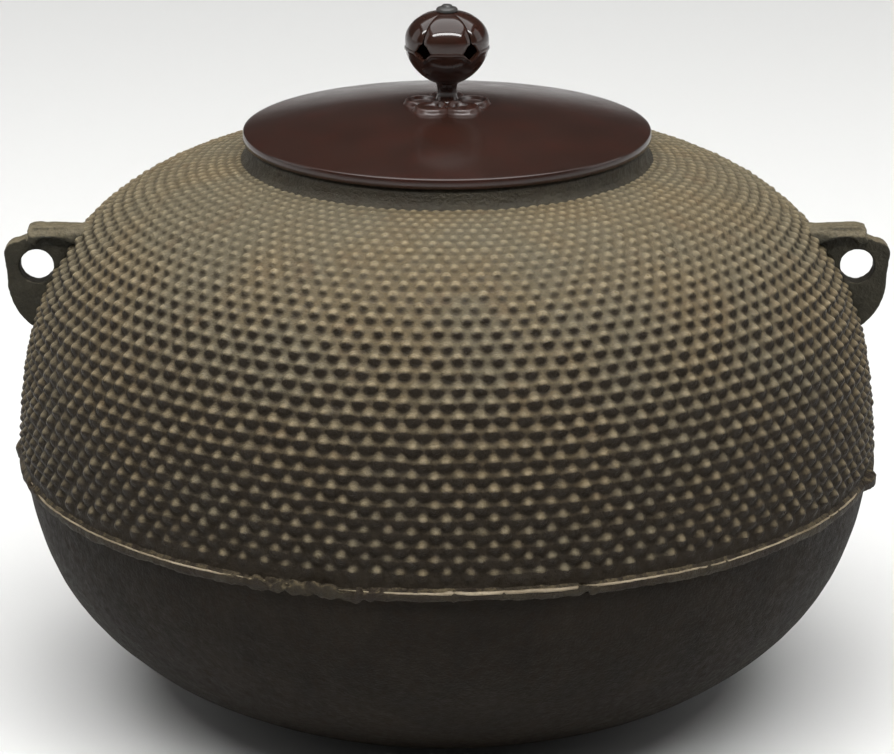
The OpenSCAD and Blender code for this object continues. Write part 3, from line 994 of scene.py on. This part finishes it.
def lug_iron(looks):
    """Dark iron, olive where it faces up as painted light from above, and darkest inside the ring hole as
    painted shade.
    """
    colour = looks.lugs[:]
    olive = looks.hailstone[:]
    m = Nodes("lug_iron")
    patch = m.ramp(m.noise(9, 4), 0.35, 0.65)
    # Painted light: side is a shaded tone of the lug, lit_olive a lit tone, mixed by how far the surface
    # faces up.
    side = m.mix(patch, scaled(colour, 0.75), scaled(colour, 1.15))
    lit_olive = m.mix(patch, scaled(olive, 0.80), scaled(olive, 1.05))
    top = m.ramp(m.math("ADD", m.slope(), m.math("MULTIPLY", m.noise(4, 4), 0.3)), 0.35, 0.75)
    base = m.mix(top, side, lit_olive)
    base = m.patchy(base, (0.07, 0.075, 0.07), 6, (0.60, 0.75), 0.5, 5, 0.6)
    base = m.pitted(base, scaled(colour, 0.5), 0.9, 0.5, roughness=0.7)
    # Painted shade: nearly black inside the ring hole, under the hood.
    m.colour(m.mix(m.math("MULTIPLY", m.attribute("bore_shade"), 0.9), base, scaled(colour, 0.15)))
    m.mottled_gloss(3, 0.42, 0.68)
    m.set(Specular_IOR_Level=0.2)
    m.bumps((m.noise(1.0, 3, 0.7), 0.6, 0.8), (m.noise(3, 3), 1.0, 0.5))
    return m.material


def bowl_iron(looks):
    """Fine-grained nearly black iron."""
    colour = looks.bowl[:]
    return plain_iron("bowl_iron", colour, scaled(colour, 1.25, 0.95, 0.7), 0.75, (0.55, 0.75), 0.16,
                      (1, 1, 0.45), shine=0.10)


def flange_iron(looks):
    """Broken dark iron, with painted highlights in the lacquer's tan where its crumbs face up."""
    m = Nodes("flange_iron")
    base = m.patchy((0.017, 0.011, 0.006), (0.032, 0.025, 0.014), 14, (0.38, 0.62), detail=4)
    # Painted highlight: trace marks the up-facing crumbs in patches by noise, and they take the lacquer's
    # tan.
    trace = m.math("MULTIPLY", m.ramp(m.slope(), 0.2, 0.7), m.ramp(m.noise(3.0, 4, 0.7), 0.46, 0.58))
    base = m.mix(m.math("MULTIPLY", trace, 0.6), base, scaled(looks.lacquer[:], 0.5, 0.48, 0.40))
    m.colour(m.pitted(base, (0.010, 0.007, 0.004), 1.1, 0.6))
    m.mottled_gloss(3.3, 0.5, 0.75)
    m.set(Specular_IOR_Level=0.2)
    m.bumps((m.noise(1.1, 3, 0.75), 1.05, 0.8), (m.noise(4.4, 4), 1.75, 0.5))
    return m.material


def iron_lacquer(looks):
    """Tan lacquer thickened with iron powder, stained brown in places."""
    colour = looks.lacquer[:]
    m = Nodes("iron_lacquer")
    base = m.patchy(colour, scaled(colour, 0.42, 0.36, 0.27), 14, (0.42, 0.66), 0.75, 5, 0.6)
    m.colour(m.pitted(base, scaled(colour, 0.4), 0.7, 0.6, 0.5, 0.7))
    m.mottled_gloss(2, 0.4, 0.65, 3)
    m.bumps((m.noise(0.6, 3, 0.7), 0.2, 0.6))
    return m.material


def plate_iron(looks):
    """Rusty plain iron."""
    return plain_iron("plate_iron", (0.05, 0.04, 0.032), (0.075, 0.035, 0.017), 0.9, (0.5, 0.8), 0.3)


def bronze(name, colour, gloss, mottle=22, shine=0.5, coat=0.0):
    """Patinated bronze: a smooth dark brown skin with soft mottling and fine rubbing."""
    m = Nodes(name)
    base = m.patchy(scaled(colour, 0.86), scaled(colour, 1.14), mottle, (0.32, 0.68), roughness=0.5)
    base = m.patchy(base, scaled(colour, 1.35, 0.82, 0.75), mottle * 0.5, (0.45, 0.75), 0.5, roughness=0.5)
    m.colour(m.patchy(base, scaled(colour, 1.6), 0.8, (0.62, 0.8), 0.3, roughness=0.8))
    m.mottled_gloss(mottle * 0.6, *gloss, 3)
    m.set(Specular_IOR_Level=shine, Coat_Weight=coat, Coat_Roughness=0.07)
    m.bumps((m.noise(0.7, 3, 0.7), 0.02, 0.4), (m.noise(7, 3), 0.10, 0.3))
    return m.material


def lid_bronze(looks):
    """The lid's smooth patina."""
    return bronze("lid_bronze", looks.lid[:], (0.15, 0.22))


def seat_bronze(looks):
    """The flower seat's paler, more worn patina."""
    return bronze("seat_bronze", scaled(looks.lid[:], 1.5), (0.26, 0.36), 6)


def knob_bronze(looks):
    """The knob's patina under a glossy lacquer."""
    return bronze("knob_bronze", looks.knob[:], (0.25, 0.35), 9, shine=0.05, coat=0.85)


def button_bronze(looks):
    """The grey metal of the button."""
    return bronze("button_bronze", (0.026, 0.026, 0.024), (0.35, 0.5), 4)


MAKERS = (hailstone_iron, neck_iron, lug_iron, bowl_iron, flange_iron, iron_lacquer, plate_iron,
          lid_bronze, seat_bronze, knob_bronze, button_bronze)
FINISHES = {maker.__name__: maker for maker in MAKERS}
finishes_made = {}


def finish(name):
    """The material of that name, made the first time that it is asked for."""
    if name not in finishes_made:
        finishes_made[name] = FINISHES[name](bpy.context.scene.kettle_looks)
    return finishes_made[name]


# ---------------------------------------------------------------- stage

# Lengths of the stage are in metres
FLOOR_HALF = 8.0
GLOW_STARTS = 0.6
GLOW_FULL = 3.2
HORIZON_TOP = math.radians(4.5)
ROOM_STARTS = math.radians(6.5)
LAMP_AIM = Vector((0, 0, 0.1))
# Each lamp's name, place, width, depth, the setting that holds its power, and its share of that
LAMPS = (("overhead", (0, 0.15, 1.4), 2.0, 1.4, "overhead_power", 1.0),
         ("front_strip", (0, -0.66, 1.22), 2.0, 0.19, "strip_power", 1.0),
         ("ceiling", (0, 0, 3.2), 5.5, 5.5, "ceiling_power", 1.0),
         ("left_side", (-1.5, 0.15, 0.75), 0.9, 1.1, "side_power", 1.0),
         ("right_side", (1.5, 0.15, 0.75), 0.9, 1.1, "side_power", 1.1))


def area_light(name, place_m, width, depth, power):
    """A soft rectangular lamp that faces the kettle."""
    data = bpy.data.lights.new(name, "AREA")
    data.shape = "RECTANGLE"
    data.size = width
    data.size_y = depth
    data.energy = power
    lamp = bpy.data.objects.new(name, data)
    bpy.context.scene.collection.objects.link(lamp)
    lamp.location = place_m
    lamp.rotation_euler = (LAMP_AIM - Vector(place_m)).to_track_quat("-Z", "Y").to_euler()


def pale_floor(settings):
    """Matt paper that glows far from the middle, so that it stays pale up to the horizon."""
    paper = bpy.data.materials.new("pale_floor")
    paper.use_nodes = True
    tree = paper.node_tree
    shader = tree.nodes["Principled BSDF"]
    shader.inputs["Base Color"].default_value = (*settings.floor[:], 1)
    shader.inputs["Roughness"].default_value = 0.9
    shader.inputs["Emission Color"].default_value = (1, 1, 1, 1)
    coordinates = tree.nodes.new("ShaderNodeTexCoord")
    distance = tree.nodes.new("ShaderNodeVectorMath")
    distance.operation = "LENGTH"
    tree.links.new(coordinates.outputs["Object"], distance.inputs[0])
    glow = map_range(tree, distance.outputs["Value"], GLOW_STARTS, GLOW_FULL, 0.0, settings.far_glow)
    glow.interpolation_type = "SMOOTHSTEP"
    tree.links.new(glow.outputs["Result"], shader.inputs["Emission Strength"])
    return paper


def soft_room(settings):
    """Even dim light all round, brighter near the horizon."""
    world = bpy.data.worlds.new("soft_room")
    world.use_nodes = True
    tree = world.node_tree
    background = tree.nodes["Background"]
    background.inputs["Color"].default_value = (1.0, 0.99, 0.97, 1)
    direction = tree.nodes.new("ShaderNodeTexCoord")
    upward = tree.nodes.new("ShaderNodeSeparateXYZ")
    tree.links.new(direction.outputs["Generated"], upward.inputs["Vector"])
    fade = map_range(tree, upward.outputs["Z"], math.sin(HORIZON_TOP), math.sin(ROOM_STARTS),
                     settings.horizon_light, settings.room_light)
    tree.links.new(fade.outputs["Result"], background.inputs["Strength"])
    return world


def build_stage(settings):
    """A pale floor, soft lamps and the camera."""
    bm = bmesh.new()
    bmesh.ops.create_grid(bm, x_segments=1, y_segments=1, size=FLOOR_HALF)
    mesh = bpy.data.meshes.new("floor")
    bm.to_mesh(mesh)
    bm.free()
    floor = bpy.data.objects.new("floor", mesh)
    bpy.context.scene.collection.objects.link(floor)
    mesh.materials.append(pale_floor(settings))

    bpy.context.scene.world = soft_room(settings)
    bpy.context.scene.view_settings.view_transform = "Standard"
    for name, place_m, width, depth, power, share in LAMPS:
        area_light(name, place_m, width, depth, getattr(settings, power) * share)

    eye = bpy.data.cameras.new("camera")
    eye.lens = settings.lens
    eye.sensor_width = 36.0
    eye.clip_start = 0.05
    eye.clip_end = 50.0
    camera = bpy.data.objects.new("camera", eye)
    bpy.context.scene.collection.objects.link(camera)
    target = Vector((0, 0, settings.target_z))
    tilt = settings.camera_elevation
    away = Vector((0, -math.cos(tilt), math.sin(tilt))) * settings.camera_distance
    camera.location = target + away
    camera.rotation_euler = (math.pi / 2 - tilt, 0, 0)
    bpy.context.scene.camera = camera


# ---------------------------------------------------------------- the add-on

class KettleCasting(bpy.types.PropertyGroup):
    """Sizes of the iron castings."""
    stones_per_ring: bpy.props.IntProperty(
        name="Stones per ring", description="Number of hailstones in each ring", default=124, min=60, max=160)
    steps_per_stone: bpy.props.IntProperty(
        name="Steps per stone", description="Mesh columns across one hailstone", default=8, min=4, max=8)
    stone_lift: bpy.props.FloatProperty(
        name="Stone height", description="How far a hailstone stands out", default=0.00125,
        min=0.0003, max=0.0015, precision=5, unit="LENGTH", subtype="DISTANCE")


class KettleLooks(bpy.types.PropertyGroup):
    """Colours of the finishes."""
    hailstone: bpy.props.FloatVectorProperty(
        name="Hailstone iron", description="Colour of the upper casting", default=(0.118, 0.098, 0.060),
        subtype="COLOR", min=0, max=1)
    # The lugs' sides take the shaded tone of their painted light.
    lugs: bpy.props.FloatVectorProperty(
        name="Lug iron", description="Colour of the ring lugs' sides", default=(0.026, 0.023, 0.0145),
        subtype="COLOR", min=0, max=1)
    bowl: bpy.props.FloatVectorProperty(
        name="Bowl iron", description="Colour of the lower bowl", default=(0.0118, 0.0087, 0.0056),
        subtype="COLOR", min=0, max=1)
    lacquer: bpy.props.FloatVectorProperty(
        name="Seam lacquer", description="Colour of the lacquer at the seam", default=(0.27, 0.22, 0.145),
        subtype="COLOR", min=0, max=1)
    lid: bpy.props.FloatVectorProperty(
        name="Lid bronze", description="Colour of the lid's patina", default=(0.022, 0.0095, 0.0068),
        subtype="COLOR", min=0, max=1)
    knob: bpy.props.FloatVectorProperty(
        name="Knob bronze", description="Colour of the knob's patina", default=(0.019, 0.0080, 0.0053),
        subtype="COLOR", min=0, max=1)


class KettleStudio(bpy.types.PropertyGroup):
    """Floor, lamps and camera."""
    floor: bpy.props.FloatVectorProperty(
        name="Floor", description="Colour of the floor", default=(0.66, 0.66, 0.65),
        subtype="COLOR", min=0, max=1)
    far_glow: bpy.props.FloatProperty(
        name="Far glow", description="Light that the floor gives off far from the kettle", default=0.5, min=0)
    room_light: bpy.props.FloatProperty(
        name="Room light", description="Strength of the even light all round", default=0.035, min=0)
    horizon_light: bpy.props.FloatProperty(
        name="Horizon light", description="Strength of the light from just above the horizon",
        default=0.42, min=0)
    overhead_power: bpy.props.FloatProperty(
        name="Overhead lamp", description="Power of the lamp above", default=19.5, min=0, unit="POWER")
    strip_power: bpy.props.FloatProperty(
        name="Front strip", description="Power of the long lamp above the front", default=24.5,
        min=0, unit="POWER")
    side_power: bpy.props.FloatProperty(
        name="Side lamps", description="Power of each side lamp", default=3.0, min=0, unit="POWER")
    ceiling_power: bpy.props.FloatProperty(
        name="Ceiling", description="Power of the wide lamp that lights the whole floor", default=58.0, min=0,
        unit="POWER")
    lens: bpy.props.FloatProperty(
        name="Lens", description="Focal length in millimetres on a 36 mm sensor", default=163.85, min=20)
    target_z: bpy.props.FloatProperty(
        name="Aim height", description="Height that the camera looks at", default=0.0942, unit="LENGTH",
        subtype="DISTANCE")
    camera_elevation: bpy.props.FloatProperty(
        name="Elevation", description="Angle by which the camera looks down", default=math.radians(17.706),
        unit="ROTATION", subtype="ANGLE")
    camera_distance: bpy.props.FloatProperty(
        name="Distance", description="Distance from the camera to its aim", default=1.1997, unit="LENGTH",
        subtype="DISTANCE")


class KETTLE_OT_upper_casting(bpy.types.Operator):
    """Build the hailstone wall, the neck and the broken flange of the upper casting"""
    bl_idname = "kettle.upper_casting"
    bl_label = "Upper casting"

    def execute(self, context):
        build_hailstone_bands(context.scene.kettle_casting)
        build_neck()
        build_flange()
        return {"FINISHED"}


class KETTLE_OT_lower_bowl(bpy.types.Operator):
    """Build the lower bowl, the seam's lacquer and the sounding plates"""
    bl_idname = "kettle.lower_bowl"
    bl_label = "Lower bowl"

    def execute(self, context):
        build_bowl()
        build_seam_lacquer()
        build_sounding_plates()
        return {"FINISHED"}


class KETTLE_OT_ring_lugs(bpy.types.Operator):
    """Build the two ring lugs"""
    bl_idname = "kettle.ring_lugs"
    bl_label = "Ring lugs"

    def execute(self, context):
        build_lugs()
        return {"FINISHED"}


class KETTLE_OT_lid(bpy.types.Operator):
    """Build the bronze lid and finish its ring and washer"""
    bl_idname = "kettle.lid"
    bl_label = "Lid"

    def execute(self, context):
        build_lid()
        build_lid_fittings()
        return {"FINISHED"}


class KETTLE_OT_knob(bpy.types.Operator):
    """Build the knob: its flower seat, stem and cup, petals and pin"""
    bl_idname = "kettle.knob"
    bl_label = "Knob"

    def execute(self, context):
        build_seat()
        build_cup()
        build_petals()
        build_pin()
        return {"FINISHED"}


class KETTLE_OT_stage(bpy.types.Operator):
    """Build the floor, the lamps and the camera"""
    bl_idname = "kettle.stage"
    bl_label = "Stage"

    def execute(self, context):
        build_stage(context.scene.kettle_studio)
        return {"FINISHED"}


OPERATORS = (KETTLE_OT_upper_casting, KETTLE_OT_lower_bowl, KETTLE_OT_ring_lugs, KETTLE_OT_lid,
             KETTLE_OT_knob, KETTLE_OT_stage)


class KETTLE_PT_panel(bpy.types.Panel):
    """Kettle builder"""
    bl_idname = "KETTLE_PT_panel"
    bl_label = "Tea kettle"
    bl_space_type = "VIEW_3D"
    bl_region_type = "UI"
    bl_category = "Kettle"

    def draw(self, context):
        layout = self.layout
        for group in ("kettle_casting", "kettle_looks", "kettle_studio"):
            box = layout.box()
            settings = getattr(context.scene, group)
            for key in settings.__annotations__:
                box.prop(settings, key)
        for operator in OPERATORS:
            layout.operator(operator.bl_idname)


GROUPS = {"kettle_casting": KettleCasting, "kettle_looks": KettleLooks, "kettle_studio": KettleStudio}
CLASSES = (*GROUPS.values(), *OPERATORS, KETTLE_PT_panel)


def register():
    """Registers the classes, and hangs the settings on the scene."""
    for cls in CLASSES:
        bpy.utils.register_class(cls)
    for name, group in GROUPS.items():
        setattr(bpy.types.Scene, name, bpy.props.PointerProperty(type=group))


def unregister():
    """Undoes register."""
    for name in GROUPS:
        delattr(bpy.types.Scene, name)
    for cls in reversed(CLASSES):
        bpy.utils.unregister_class(cls)


def main():
    """Builds everything in order."""
    register()
    bpy.ops.kettle.upper_casting()
    bpy.ops.kettle.lower_bowl()
    bpy.ops.kettle.ring_lugs()
    bpy.ops.kettle.lid()
    bpy.ops.kettle.knob()
    bpy.ops.kettle.stage()


if __name__ == "__main__":
    main()
